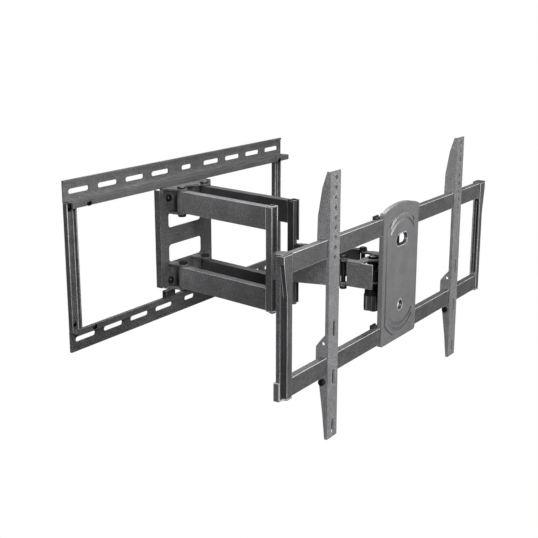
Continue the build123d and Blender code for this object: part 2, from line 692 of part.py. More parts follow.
def tv_rail(side):
    """Channel rail, open towards the wall, butted between the end posts."""
    half = FRAME_HALF - END_POST_WIDTH
    low = side * TV_RAIL_Z - TV_RAIL_HEIGHT / 2
    high = low + TV_RAIL_HEIGHT
    left = HEAD_X - half
    right = HEAD_X + half
    rail = block(left, right, RAIL_FRONT, RAIL_BACK, low, high)
    rail -= block(left - 1, right + 1, RAIL_FRONT + SHEET, RAIL_BACK + 1, low + 8, high - 8)
    rail -= block(left - 1, right + 1, RAIL_FRONT + SHEET, RAIL_BACK - SHEET, low + SHEET, high - SHEET)
    return rail


FRAME_REACH = TV_RAIL_Z + TV_RAIL_HEIGHT / 2
CAP_WALL = 2.5
CAP_DROP = 20.0             # lip of the cap down the post's back
FOOT_RISE = 26.0
GROOVE_TIP = 12.0           # start of the groove below the top
GROOVE_TAPER = 60.0         # full width below the top


def corner_groove(side):
    """Cutter for the groove that widens down an end post's outer front corner."""
    edge = HEAD_X + side * (FRAME_HALF + CAP_WALL + 1)
    bottom = HEAD_X + side * (FRAME_HALF - GROOVE_WIDE)
    low = -FRAME_REACH - CAP_WALL - 1
    outline = [
        (edge, low),
        (bottom, low),
        (bottom, FRAME_REACH - GROOVE_TAPER),
        (HEAD_X + side * FRAME_HALF, FRAME_REACH - GROOVE_TIP),
        (edge, FRAME_REACH - GROOVE_TIP),
    ]
    face = make_face(Polyline(*outline, close=True))
    return Pos(0, POST_FACE + GROOVE_DEEP, 0) * Plane.XZ.location * extrude(face, GROOVE_DEEP + 1)


def tv_end_post(side):
    """Upright at the end of the rails, open on its inner side between them."""
    outer = HEAD_X + side * FRAME_HALF
    inner = HEAD_X + side * (FRAME_HALF - END_POST_WIDTH)
    post = block(outer, inner, POST_FACE, RAIL_BACK, -FRAME_REACH, FRAME_REACH) - corner_groove(side)
    hollow_end = outer - side * (GROOVE_WIDE + SHEET)
    hollow_reach = TV_RAIL_Z - TV_RAIL_HEIGHT / 2 - SHEET
    return post - block(inner - side, hollow_end, POST_FACE + SHEET, RAIL_BACK - SHEET,
                        -hollow_reach, hollow_reach)


def end_cap(side):
    """Flat moulded cap on top of an end post, with a lip over the back."""
    outer = HEAD_X + side * FRAME_HALF
    inner = HEAD_X + side * (FRAME_HALF - END_POST_WIDTH)
    back = RAIL_BACK + CAP_WALL
    cap = block(outer, inner, POST_FACE, back, FRAME_REACH, FRAME_REACH + CAP_WALL)
    return cap + block(outer, inner, RAIL_BACK, back, FRAME_REACH - CAP_DROP, FRAME_REACH)


def end_foot(side):
    """Moulded foot round the outer side, back and end of an end post."""
    outer = HEAD_X + side * (FRAME_HALF + CAP_WALL)
    inner = HEAD_X + side * (FRAME_HALF - END_POST_WIDTH)
    foot = block(outer, inner, POST_FACE, RAIL_BACK + CAP_WALL, -FRAME_REACH - CAP_WALL,
                 -FRAME_REACH + FOOT_RISE)
    foot -= block(HEAD_X + side * FRAME_HALF, inner - side, POST_FACE - 1, RAIL_BACK, -FRAME_REACH,
                  -FRAME_REACH + FOOT_RISE + 1)
    return foot - corner_groove(side)


def cover_outline(inset):
    """Front view of the cover: flat sides and foot with an arched top."""
    half = COVER_WIDTH / 2 - inset
    foot = COVER_BOTTOM + inset
    corner = COVER_CORNER - inset
    left_side = Line((-half, foot), (-half, corner))
    arch = ThreePointArc((-half, corner), (0, COVER_TOP - inset), (half, corner))
    right_side = Line((half, corner), (half, foot))
    base = Line((half, foot), (-half, foot))
    return make_face(Wire([left_side, arch, right_side, base]))


RAISED_HALF = 54.0          # raised middle of the cover
RAISED_TOP = 107.0
RAISED_FOOT = -103.0
RAISED_SHOULDER = 27.0      # height of the raised middle's curved ends


def raised_outline():
    """Front view of the cover's raised middle, curved at both ends."""
    high = RAISED_TOP - RAISED_SHOULDER
    low = RAISED_FOOT + RAISED_SHOULDER
    left_side = Line((-RAISED_HALF, low), (-RAISED_HALF, high))
    arch = ThreePointArc((-RAISED_HALF, high), (0, RAISED_TOP), (RAISED_HALF, high))
    right_side = Line((RAISED_HALF, high), (RAISED_HALF, low))
    base = ThreePointArc((RAISED_HALF, low), (0, RAISED_FOOT), (-RAISED_HALF, low))
    return make_face(Wire([left_side, arch, right_side, base]))


def tv_cover():
    """Moulded front cover that wraps the rails, with a window and a lower hole."""
    depth = COVER_FRONT + COVER_BACK
    border = Pos(HEAD_X, RAIL_FRONT + COVER_BACK, 0) * Rot(90, 0, 0)
    cover = border * extrude(cover_outline(0), depth - COVER_STEP)
    cover = fillet(cover.edges().filter_by(Axis.Y), COVER_FILLET)
    raised = border * extrude(raised_outline(), depth)
    cover += raised
    inside_depth = depth - COVER_STEP - COVER_WALL
    cover -= border * extrude(cover_outline(COVER_WALL), inside_depth)
    for level in (-1, 1):
        low = level * TV_RAIL_Z - TV_RAIL_HEIGHT / 2 - 0.5
        high = low + TV_RAIL_HEIGHT + 1.0
        cover -= block(HEAD_X - COVER_WIDTH, HEAD_X + COVER_WIDTH, RAIL_FRONT - 0.3,
                       RAIL_FRONT + COVER_BACK + 1, low, high)
    cover -= slot_y(HEAD_X, RAIL_FRONT + COVER_BACK + 1, RAIL_FRONT - COVER_FRONT - 1, WINDOW_Z,
                    COVER_WINDOW[0], COVER_WINDOW[1])
    cover -= level_y(HEAD_X, RAIL_FRONT - COVER_FRONT - 1, RAIL_FRONT + COVER_BACK + 1,
                     COVER_HOLE_Z, COVER_HOLE)
    return cover


RAIL_BOLT_SPREAD = 46.0
RAIL_BOLT_HEAD = 6.0        # radius
RAIL_BOLT_THICK = 3.0


def rail_bolts():
    """Pan heads that hold the rails to the tilt plate."""
    bolts = []
    for hand in (-1, 1):
        for side in (-1, 1):
            bolts.append(level_y(HEAD_X + hand * RAIL_BOLT_SPREAD, PLATE_Y, PLATE_Y + RAIL_BOLT_THICK,
                                 side * TV_RAIL_Z, RAIL_BOLT_HEAD))
    return bolts


# Hangers that screw to the TV and hook over both rails

HANGER_GAP = 0.4
HANGER_BACK = RAIL_FRONT - HANGER_GAP
HANGER_FRONT = HANGER_BACK - SHEET
RETURN_DEPTH = 11.0         # narrow flange down the hanger's other edge
RETURN_END = 6.0            # it stops this far from the hanger's ends
LOCK_SCREW_Z = -117.0
LOCK_SCREW_RADIUS = 2.6
LOCK_SCREW_HEAD = 5.0
LOCK_SCREW_SETBACK = 9.0    # behind the hanger's drilled face
LOCK_SCREW_SHANK = 12.0
LOCK_SCREW_THICK = 6.0


def hanger(middle):
    """Upright channel: a drilled face, a shaped flange with two hooks and a narrow flange."""
    left = HEAD_X + middle - HANGER_WIDTH / 2
    right = left + HANGER_WIDTH
    face = block(left, right, HANGER_FRONT, HANGER_BACK, HANGER_FOOT, HANGER_TOP)
    column = HEAD_X + middle + 2
    for count in range(HOLE_COUNT):
        z = TOP_HOLE - count * HOLE_PITCH
        face -= level_y(column, HANGER_FRONT - 1, HANGER_BACK + 1, z, HOLE_RADIUS)
    for z in TALL_SLOTS:
        face -= tall_slot_y(column, HANGER_FRONT - 1, HANGER_BACK + 1, z, TALL_SLOT, 2 * HOLE_RADIUS)
    upper = TV_RAIL_Z + TV_RAIL_HEIGHT / 2
    lower = TV_RAIL_Z - TV_RAIL_HEIGHT / 2
    front_of_rail = SHEET
    behind_rail = SHEET + HANGER_GAP + TV_RAIL_DEPTH + HANGER_GAP
    hook = behind_rail + 6.5
    fin = [
        (SHEET, HANGER_TOP),
        (6, HANGER_TOP),
        (14, 183),
        (21, 140),
        (hook, 112),
        (hook, lower + 6),
        (behind_rail, lower + 6),
        (behind_rail, upper + HANGER_GAP),
        (front_of_rail, upper + HANGER_GAP),
    ]
    middle_strip = [
        (front_of_rail, lower - HANGER_GAP),
        (6, lower - HANGER_GAP),
        (6, -42),
        (13, -50),
        (hook, -62),
        (hook, -upper + 6),
        (behind_rail, -upper + 6),
        (behind_rail, -lower + HANGER_GAP),
        (front_of_rail, -lower + HANGER_GAP),
    ]
    tail = [
        (front_of_rail, -upper - HANGER_GAP),
        (18, -upper - HANGER_GAP),
        (15, -125),
        (9, -170),
        (5, HANGER_FOOT),
        (front_of_rail, HANGER_FOOT),
    ]
    for outline in (fin, middle_strip, tail):
        points = [(HANGER_FRONT + depth, z) for depth, z in outline]
        face += section_x(points, left, left + SHEET)
    for z in (-56.0, LOCK_SCREW_Z):
        face -= level_x(left - 1, left + SHEET + 1, HANGER_FRONT + LOCK_SCREW_SETBACK, z,
                        LOCK_SCREW_RADIUS)
    runs = (
        (upper + 1, HANGER_TOP - RETURN_END),
        (1 - lower, lower - 1),
        (HANGER_FOOT + RETURN_END, -upper - 1),
    )
    for low, high in runs:
        face += block(right - SHEET, right, HANGER_FRONT, HANGER_FRONT + RETURN_DEPTH, low, high)
    return face


def hanger_lock_screw(middle):
    """Thumb screw under the lower rail that keeps the hanger from lifting off."""
    left = HEAD_X + middle - HANGER_WIDTH / 2
    y = HANGER_FRONT + LOCK_SCREW_SETBACK
    end = left - LOCK_SCREW_THICK
    screw = level_x(end, left + LOCK_SCREW_SHANK, y, LOCK_SCREW_Z, LOCK_SCREW_RADIUS)
    return screw + level_x(end, left, y, LOCK_SCREW_Z, LOCK_SCREW_HEAD)


os.makedirs("parts", exist_ok=True)

save("wall_rail_upper", wall_rail(1))
save("wall_rail_lower", wall_rail(-1))
save("wall_post_left", wall_post(-1))
save("wall_post_right", wall_post(1))
save("wall_post_screws", *post_foot_screws())
save("bracket_travel_stops", *travel_stops())

save("bracket_plate", bracket_plate())
save("bracket_lug_top", lug_plate(BRACKET_TOP - HEAVY_SHEET, BRACKET_TOP))
save("bracket_lug_bottom", lug_plate(BRACKET_FOOT, BRACKET_FOOT + HEAVY_SHEET))
lug_face = ARM_Z + BARREL_LOW - WASHER
save("bracket_lugs_upper_inner", *inner_lugs(lug_face - HEAVY_SHEET, lug_face))
lug_face = ARM_Z - BARREL_LOW + WASHER
save("bracket_lugs_lower_inner", *inner_lugs(lug_face, lug_face + HEAVY_SHEET))
hook_places = (BRACKET_X - HOOK_SPREAD, BRACKET_X + HOOK_SPREAD)
save("bracket_hooks_upper", *[lip_hook(x, 1) for x in hook_places])
save("bracket_hooks_lower", *[lip_hook(x, -1) for x in hook_places])
save("bracket_clamp_bolts", *clamp_bolts())
save("shoulder_pins", *shoulder_pins())
save("shoulder_washers", *shoulder_washers())

for hand, shoulder, elbow in (("near", near_shoulder, near_elbow), ("far", far_shoulder, far_elbow)):
    save(f"{hand}_first_beam_upper", on_arm(shoulder, FIRST_SWING, first_beam(1)))
    save(f"{hand}_first_beam_lower", on_arm(shoulder, FIRST_SWING, first_beam(-1)))
    save(f"{hand}_elbow_post", on_arm(shoulder, FIRST_SWING, elbow_post()))
    save(f"{hand}_elbow_caps", *[on_arm(shoulder, FIRST_SWING, plate) for plate in elbow_caps()])
    save(f"{hand}_elbow_pin", on_arm(shoulder, FIRST_SWING, elbow_pin()))
    save(f"{hand}_elbow_sleeves", *[on_arm(shoulder, FIRST_SWING, tube) for tube in elbow_sleeves()])
    save(f"{hand}_elbow_washers", *[on_arm(shoulder, FIRST_SWING, tube) for tube in elbow_washers()])
    save(f"{hand}_second_beam", on_arm(elbow, SECOND_SWING, second_beam()))

save("head_plate_lower", head_plate(HEAD_LOW, HEAD_LOW + HEAD_SHEET))
save("head_plate_upper", head_plate(HEAD_HIGH - HEAD_SHEET, HEAD_HIGH))
save("head_sides", *head_sides())
save("wrist_pins", *wrist_pins())
save("wrist_washers", *wrist_washers())
save("swivel_bolt", swivel_bolt())
save("swivel_spacer", swivel_spacer())
save("swivel_washers", *swivel_washers())
save("swivel_knob", swivel_knob())
save("swivel_block", swivel_block())

save("tilt_plate", tilt_plate())
save("tilt_bolt", tilt_bolt())
save("tilt_nut", tilt_nut())
save("tv_rail_upper", tv_rail(1))
save("tv_rail_lower", tv_rail(-1))
save("tv_end_post_left", tv_end_post(-1))
save("tv_end_post_right", tv_end_post(1))
save("tv_frame_end_caps", *[end_cap(side) for side in (-1, 1)])
save("tv_frame_feet", *[end_foot(side) for side in (-1, 1)])
save("tv_cover", tv_cover())
save("tv_rail_bolts", *rail_bolts())
for hand, middle in (("left", LEFT_HANGER), ("right", RIGHT_HANGER)):
    save(f"hanger_{hand}", hanger(middle))
    save(f"hanger_{hand}_lock_screw", hanger_lock_screw(middle))
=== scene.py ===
import json
from math import atan, cos, pi, radians, sin

import bmesh
import bpy
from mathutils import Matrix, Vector


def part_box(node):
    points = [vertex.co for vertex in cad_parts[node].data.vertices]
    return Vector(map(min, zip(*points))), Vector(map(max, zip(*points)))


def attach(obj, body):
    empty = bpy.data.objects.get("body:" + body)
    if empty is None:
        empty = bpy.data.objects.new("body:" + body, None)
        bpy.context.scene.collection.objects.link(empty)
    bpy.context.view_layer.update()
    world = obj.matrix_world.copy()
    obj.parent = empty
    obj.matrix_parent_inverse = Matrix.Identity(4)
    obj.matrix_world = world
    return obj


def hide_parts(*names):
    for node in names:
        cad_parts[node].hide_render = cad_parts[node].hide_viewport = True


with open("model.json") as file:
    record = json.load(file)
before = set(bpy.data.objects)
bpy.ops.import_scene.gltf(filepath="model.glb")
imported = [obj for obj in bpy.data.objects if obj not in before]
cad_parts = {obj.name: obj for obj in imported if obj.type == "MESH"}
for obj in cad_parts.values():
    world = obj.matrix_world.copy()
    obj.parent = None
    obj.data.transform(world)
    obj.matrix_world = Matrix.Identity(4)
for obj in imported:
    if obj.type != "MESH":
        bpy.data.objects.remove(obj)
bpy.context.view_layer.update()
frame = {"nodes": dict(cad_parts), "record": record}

MM = 0.001


# Camera, floor and light

def place_camera():
    """A studio camera in front and to the left, looking slightly down."""
    camera = bpy.data.cameras.new("studio_camera")
    camera.sensor_width = 36.0
    camera.angle = 2 * atan(269.0 / 1020.0)
    camera.clip_end = 30.0
    piece = bpy.data.objects.new("studio_camera", camera)
    piece.location = (-1.5684, -1.2287, 0.4438)
    piece.rotation_euler = (radians(90.0 - 14.64), 0, radians(-56.63))
    bpy.context.collection.objects.link(piece)
    bpy.context.scene.camera = piece


def white_to_sight(tree, dim, output):
    """White where it is looked at, dim where it only lights the mount."""
    tree.nodes.clear()
    seen = tree.nodes.new("ShaderNodeLightPath")
    kind = "ShaderNodeBackground" if output == "ShaderNodeOutputWorld" else "ShaderNodeEmission"
    soft, white = tree.nodes.new(kind), tree.nodes.new(kind)
    soft.inputs["Strength"].default_value = dim
    soft.inputs["Color"].default_value = (0.93, 0.96, 1.0, 1)
    white.inputs["Strength"].default_value = 1.0
    white.inputs["Color"].default_value = (1, 1, 1, 1)
    mixer = tree.nodes.new("ShaderNodeMixShader")
    tree.links.new(seen.outputs["Is Camera Ray"], mixer.inputs["Fac"])
    tree.links.new(soft.outputs[0], mixer.inputs[1])
    tree.links.new(white.outputs[0], mixer.inputs[2])
    end = tree.nodes.new(output)
    tree.links.new(mixer.outputs["Shader"], end.inputs["Surface"])


def studio_floor():
    """Wide white paper under the mount."""
    mesh = bpy.data.meshes.new("studio_floor")
    half = 9.0
    level = -0.75
    corners = [(-half, -half, level), (half, -half, level), (half, half, level), (-half, half, level)]
    mesh.from_pydata(corners, [], [(0, 1, 2, 3)])
    piece = bpy.data.objects.new("studio_floor", mesh)
    bpy.context.collection.objects.link(piece)
    paper = bpy.data.materials.new("studio_paper")
    paper.use_nodes = True
    white_to_sight(paper.node_tree, 0.10, "ShaderNodeOutputMaterial")
    mesh.materials.append(paper)


def studio_light():
    """Soft surroundings, a broad key from the left, a front fill and a rim from behind."""
    bpy.context.scene.view_settings.view_transform = "Standard"
    world = bpy.data.worlds.new("studio_world")
    world.use_nodes = True
    white_to_sight(world.node_tree, 0.07, "ShaderNodeOutputWorld")
    bpy.context.scene.world = world
    lamps = (
        ("key_light", (-2.0, -2.3, 1.1), 0.8, 104),
        ("top_light", (-0.5, -0.5, 2.3), 0.6, 74),
        ("front_light", (1.0, -2.6, 0.4), 0.7, 46),
        ("rim_light", (1.3, 0.9, 1.9), 0.7, 30),
    )
    for name, place, size, power in lamps:
        light = bpy.data.lights.new(name, "AREA")
        light.size = size
        light.energy = power
        lamp = bpy.data.objects.new(name, light)
        lamp.location = place
        aim = Vector((-0.05, -0.25, 0.0)) - Vector(place)
        lamp.rotation_euler = aim.to_track_quat("-Z", "Y").to_euler()
        bpy.context.collection.objects.link(lamp)


place_camera()
studio_floor()
studio_light()


# Finishes

def wire(tree, start, output, end, socket):
    tree.links.new(start.outputs[output], end.inputs[socket])


def grain(tree, scale, detail, rough=0.6):
    """Noise on the piece's own millimetres."""
    place = tree.nodes.new("ShaderNodeTexCoord")
    noise = tree.nodes.new("ShaderNodeTexNoise")
    noise.inputs["Scale"].default_value = scale
    noise.inputs["Detail"].default_value = detail
    noise.inputs["Roughness"].default_value = rough
    wire(tree, place, "Object", noise, "Vector")
    return noise


def spread(tree, source, low, high, dark, light):
    """Turns a grey pattern into a run between two colours."""
    ramp = tree.nodes.new("ShaderNodeValToRGB")
    ramp.color_ramp.elements[0].position = low
    ramp.color_ramp.elements[1].position = high
    ramp.color_ramp.elements[0].color = (*dark, 1)
    ramp.color_ramp.elements[1].color = (*light, 1)
    tree.links.new(source, ramp.inputs["Fac"])
    return ramp


def blend_colour(tree, mode, amount, first, second):
    mixer = tree.nodes.new("ShaderNodeMix")
    mixer.data_type = "RGBA"
    mixer.blend_type = mode
    mixer.inputs["Factor"].default_value = amount
    tree.links.new(first, mixer.inputs["A"])
    tree.links.new(second, mixer.inputs["B"])
    return mixer.outputs["Result"]


def remap(tree, source, low, high):
    """Stretches a 0 to 1 value to the range low to high."""
    node = tree.nodes.new("ShaderNodeMapRange")
    node.inputs["To Min"].default_value = low
    node.inputs["To Max"].default_value = high
    tree.links.new(source, node.inputs["Value"])
    return node.outputs["Result"]


def relief(tree, source, strength, depth):
    bump = tree.nodes.new("ShaderNodeBump")
    bump.inputs["Strength"].default_value = strength
    bump.inputs["Distance"].default_value = depth
    tree.links.new(source, bump.inputs["Height"])
    return bump


def powder_coat(name, dark, light, gloss=(0.36, 0.56), metal=0.0, texture=0.45):
    """Sprayed coat: fine orange peel, pale specks and a faint cloudiness."""
    finish = bpy.data.materials.new(name)
    finish.use_nodes = True
    tree = finish.node_tree
    shader = tree.nodes["Principled BSDF"]
    speck = grain(tree, 620.0, 3.0, 0.75)
    cloud = grain(tree, 26.0, 4.0)
    peel = grain(tree, 1500.0, 2.0)
    body = spread(tree, speck.outputs["Fac"], 0.40, 0.64, dark, light)
    shade = spread(tree, cloud.outputs["Fac"], 0.30, 0.72, (0.80, 0.80, 0.80), (1.12, 1.12, 1.13))
    colour = blend_colour(tree, "MULTIPLY", 1.0, body.outputs["Color"], shade.outputs["Color"])
    tree.links.new(colour, shader.inputs["Base Color"])
    tree.links.new(remap(tree, cloud.outputs["Fac"], gloss[0], gloss[1]), shader.inputs["Roughness"])
    shader.inputs["Metallic"].default_value = metal
    coarse = relief(tree, speck.outputs["Fac"], texture, 0.0003)
    fine = relief(tree, peel.outputs["Fac"], texture * 0.6, 0.0001)
    wire(tree, coarse, "Normal", fine, "Normal")
    wire(tree, fine, "Normal", shader, "Normal")
    return finish


def moulded(name, dark, light):
    """Moulded plastic with a fine pebbled grain."""
    finish = bpy.data.materials.new(name)
    finish.use_nodes = True
    tree = finish.node_tree
    shader = tree.nodes["Principled BSDF"]
    place = tree.nodes.new("ShaderNodeTexCoord")
    pebble = tree.nodes.new("ShaderNodeTexVoronoi")
    pebble.inputs["Scale"].default_value = 900.0
    wire(tree, place, "Object", pebble, "Vector")
    cloud = grain(tree, 34.0, 5.0)
    speck = grain(tree, 700.0, 3.0, 0.75)
    body = spread(tree, speck.outputs["Fac"], 0.38, 0.66, dark, light)
    shade = spread(tree, cloud.outputs["Fac"], 0.30, 0.72, (0.86, 0.86, 0.86), (1.10, 1.10, 1.10))
    colour = blend_colour(tree, "MULTIPLY", 1.0, body.outputs["Color"], shade.outputs["Color"])
    tree.links.new(colour, shader.inputs["Base Color"])
    tree.links.new(remap(tree, cloud.outputs["Fac"], 0.34, 0.50), shader.inputs["Roughness"])
    bump = relief(tree, pebble.outputs["Distance"], 0.30, 0.0002)
    wire(tree, bump, "Normal", shader, "Normal")
    return finish


def black_oxide(name):
    """Oiled black fastener steel with fine turning marks."""
    finish = bpy.data.materials.new(name)
    finish.use_nodes = True
    tree = finish.node_tree
    shader = tree.nodes["Principled BSDF"]
    marks = grain(tree, 1800.0, 3.0, 0.8)
    smear = grain(tree, 160.0, 3.0)
    body = spread(tree, smear.outputs["Fac"], 0.35, 0.70, (0.012, 0.012, 0.013), (0.045, 0.045, 0.047))
    tree.links.new(body.outputs["Color"], shader.inputs["Base Color"])
    tree.links.new(remap(tree, smear.outputs["Fac"], 0.24, 0.46), shader.inputs["Roughness"])
    shader.inputs["Metallic"].default_value = 0.75
    bump = relief(tree, marks.outputs["Fac"], 0.25, 0.0001)
    wire(tree, bump, "Normal", shader, "Normal")
    return finish


CHARCOAL = powder_coat("charcoal_powder_coat", (0.040, 0.040, 0.041), (0.165, 0.165, 0.168))
# painted highlight: a lighter copy of the charcoal coat for the rounded edges
EDGE_HIGHLIGHT = powder_coat("charcoal_thin_edge", (0.26, 0.26, 0.262), (0.50, 0.50, 0.505), (0.28, 0.42), 0.0, 0.2)
# painted light: a lighter copy of the charcoal coat for the hangers' lit fronts
HANGER_LIT_COAT = powder_coat("hanger_powder_coat", (0.075, 0.075, 0.077), (0.25, 0.25, 0.253))
RAIL_COAT = powder_coat("rail_powder_coat", (0.022, 0.022, 0.023), (0.105, 0.105, 0.107))
# black coat for the black parts, and painted shade on the far arm, the swivel parts, the tilt plate and the
# end-post grooves
BLACK_COAT_AND_SHADE = powder_coat("black_powder_coat", (0.010, 0.010, 0.011), (0.040, 0.040, 0.042))
# painted highlight: a lighter copy of the black coat for the rounded edges of black parts
BLACK_EDGE_HIGHLIGHT = powder_coat("black_thin_edge", (0.05, 0.05, 0.052), (0.13, 0.13, 0.133), (0.28, 0.42), 0.0, 0.2)
OXIDE = black_oxide("black_oxide_steel")
COVER_PLASTIC = moulded("cover_plastic", (0.075, 0.075, 0.077), (0.180, 0.180, 0.183))
# painted highlight: a lighter copy of the cover plastic for rounded edges and rim fronts
COVER_EDGE_HIGHLIGHT = moulded("cover_plastic_edge", (0.26, 0.26, 0.265), (0.44, 0.44, 0.445))
KNOB_PLASTIC = moulded("knob_plastic", (0.050, 0.050, 0.051), (0.130, 0.130, 0.132))
# black plastic for the end caps, and painted shade on the cover's arc walls and rim interiors
BLACK_PLASTIC_AND_SHADE = moulded("black_moulded_plastic", (0.018, 0.018, 0.019), (0.055, 0.055, 0.057))
NYLON = moulded("black_nylon", (0.008, 0.008, 0.008), (0.022, 0.022, 0.023))


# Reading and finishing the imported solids

def body_holding(node):
    for body, nodes in frame["record"]["behaviour"]["bodies"].items():
        if node in nodes:
            return body
    raise ValueError(node)


def slot_of(node):
    for row in frame["record"]["subparts"]:
        if row["node"] == node:
            return row["material_slot"]
    raise ValueError(node)


def merged(node):
    """The node's triangles, joined up and with its flat faces made whole."""
    shell = bmesh.new()
    shell.from_mesh(frame["nodes"][node].data)
    bmesh.ops.remove_doubles(shell, verts=shell.verts, dist=0.00002)
    bmesh.ops.dissolve_limit(shell, angle_limit=radians(0.6), verts=shell.verts, edges=shell.edges)
    bmesh.ops.recalc_face_normals(shell, faces=shell.faces)
    return shell


def settle(piece):
    """Turns a piece and its modifiers into one plain mesh."""
    graph = bpy.context.evaluated_depsgraph_get()
    mesh = bpy.data.meshes.new_from_object(piece.evaluated_get(graph), depsgraph=graph)
    piece.modifiers.clear()
    piece.data = mesh
    return piece


def fit(piece, body, slot, *nodes):
    """Joins a finished piece to its body and hides the solids it stands for; the finish slot it is given is
    not used.
    """
    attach(piece, body)
    if nodes:
        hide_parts(*nodes)
    return piece


def round_edges(node, size, coat, edge, segments=2, carved=None):
    """The node's own solid with its long edges rounded, as bent and coated sheet has; the rounded edges take
    the edge finish as a painted highlight.
    """
    shell = carved or merged(node)
    weight = shell.edges.layers.float.new("bevel_weight_edge")
    for line in shell.edges:
        if len(line.link_faces) == 2 and line.calc_face_angle(0) > radians(28) \
                and line.calc_length() > 3.2 * MM:
            line[weight] = 1.0
    mesh = bpy.data.meshes.new(node + "_finished")
    shell.to_mesh(mesh)
    shell.free()
    mesh.materials.append(coat)
    mesh.materials.append(edge)
    mesh.shade_smooth()
    mesh.set_sharp_from_angle(angle=radians(30))
    piece = bpy.data.objects.new(node + "_finished", mesh)
    bpy.context.collection.objects.link(piece)
    bevel = piece.modifiers.new("rounded_edges", "BEVEL")
    bevel.limit_method = "WEIGHT"
    bevel.width = size * MM
    bevel.segments = segments
    bevel.harden_normals = True
    # the bevel faces take the second finish, a painted highlight along the edges
    bevel.material = 1
    settle(piece)
    return fit(piece, body_holding(node), slot_of(node), node)


RAIL_NODES = (
    "wall_rail_upper", "wall_rail_lower", "wall_post_left", "wall_post_right",
    "bracket_plate", "bracket_lug_top", "bracket_lug_bottom",
    "bracket_lugs_upper_inner", "bracket_lugs_lower_inner",
    "tv_rail_upper", "tv_rail_lower", "tv_end_post_left", "tv_end_post_right",
)
ARM_NODES = (
    "near_first_beam_upper", "near_first_beam_lower", "near_elbow_post", "near_elbow_caps",
    "near_second_beam", "head_plate_lower", "head_plate_upper", "head_sides",
)
# parts that sit in shade: the same charcoal as the near arm, coated black as painted shade
PAINTED_SHADE_NODES = (
    "far_first_beam_upper", "far_first_beam_lower", "far_elbow_post", "far_elbow_caps",
    "far_second_beam", "swivel_block", "swivel_spacer", "tilt_plate",
)

for node in RAIL_NODES:
    round_edges(node, 0.7, RAIL_COAT, EDGE_HIGHLIGHT)
for node in ARM_NODES:
    round_edges(node, 0.7, CHARCOAL, EDGE_HIGHLIGHT)
# painted shade: black coat with dim edges on the parts in shade
for node in PAINTED_SHADE_NODES:
    round_edges(node, 0.7, BLACK_COAT_AND_SHADE, BLACK_EDGE_HIGHLIGHT)
for node in ("hanger_left", "hanger_right"):
    round_edges(node, 0.7, HANGER_LIT_COAT, EDGE_HIGHLIGHT)
for node in ("bracket_hooks_upper", "bracket_hooks_lower"):
    round_edges(node, 0.6, BLACK_COAT_AND_SHADE, BLACK_EDGE_HIGHLIGHT)
round_edges("tv_frame_end_caps", 0.9, BLACK_PLASTIC_AND_SHADE, BLACK_EDGE_HIGHLIGHT)
round_edges("tv_frame_feet", 0.9, KNOB_PLASTIC, COVER_EDGE_HIGHLIGHT)


ARC_RADIUS = 60.0           # of the shallow arcs in the cover's face, in millimetres
ARC_HALF_ANGLE = 47
ARC_STEPS = 20
ARC_CENTRES = ((48, 1), (38, 1), (-36, -1), (-26, -1))      # height, and 1 to bow up or -1 down
ARC_DEPTH = 1.4
ARC_SLOPE = 5.0
ARC_CLEAR = 0.4             # how far the cutter stands out of the face


def arc_cutter(middle, height, rise):
    """Cutter for a shallow arc in the cover's face: one steep wall and one long slope."""
    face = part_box("tv_cover")[0].y
    profile = (
        (-ARC_SLOPE, -ARC_CLEAR), (0.6, -ARC_CLEAR), (0.6, ARC_DEPTH),
        (-0.4, ARC_DEPTH), (-ARC_SLOPE, 0.02),
    )
    shell = bmesh.new()
    loops = []
    for step in range(ARC_STEPS + 1):
        angle = radians(-ARC_HALF_ANGLE + 2 * ARC_HALF_ANGLE * step / ARC_STEPS)
        loop = []
        for offset, depth in profile:
            reach = ARC_RADIUS + offset
            loop.append(shell.verts.new((middle + reach * sin(angle) * MM, face + depth * MM,
                                         (height + rise * reach * cos(angle)) * MM)))
        loops.append(loop)
    for first, second in zip(loops, loops[1:]):
        for index in range(len(profile)):
            after = (index + 1) % len(profile)
            shell.faces.new((first[index], first[after], second[after], second[index]))
    shell.faces.new(loops[0])
    shell.faces.new(loops[-1])
    bmesh.ops.recalc_face_normals(shell, faces=shell.faces)
    mesh = bpy.data.meshes.new("cover_arc_cutter")
    shell.to_mesh(mesh)
    shell.free()
    cutter = bpy.data.objects.new("cover_arc_cutter", mesh)
    bpy.context.collection.objects.link(cutter)
    return cutter


def carved_cover():
    """The cover with two arcs pressed into its face above and two below."""
    low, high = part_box("tv_cover")
    middle = (low.x + high.x) / 2
    shell = merged("tv_cover")
    mesh = bpy.data.meshes.new("cover_blank")
    shell.to_mesh(mesh)
    shell.free()
    blank = bpy.data.objects.new("cover_blank", mesh)
    bpy.context.collection.objects.link(blank)
    cutters = [arc_cutter(middle, height, rise) for height, rise in ARC_CENTRES]
    for cutter in cutters:
        cut = blank.modifiers.new("arc", "BOOLEAN")
        cut.operation = "DIFFERENCE"
        cut.solver = "EXACT"
        cut.object = cutter
    settle(blank)
    shell = bmesh.new()
    shell.from_mesh(blank.data)
    for piece in [blank] + cutters:
        bpy.data.objects.remove(piece)
    bmesh.ops.recalc_face_normals(shell, faces=shell.faces)
    return shell


ARC_REACH = 47 * MM         # the arcs lie within this of the cover's middle
ARCS_ABOVE = 75 * MM
ARCS_BELOW = -60 * MM


def pressed(point):
    """True on the steep wall of an arc, well inside the cover's outer edge: the faces that take painted
    shade.
    """
    low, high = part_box("tv_cover")
    shallow = 0.2 * MM < point.y - low.y < 1.5 * MM
    reach = abs(point.x - (low.x + high.x) / 2)
    return shallow and reach < ARC_REACH and (point.z > ARCS_ABOVE or point.z < ARCS_BELOW)


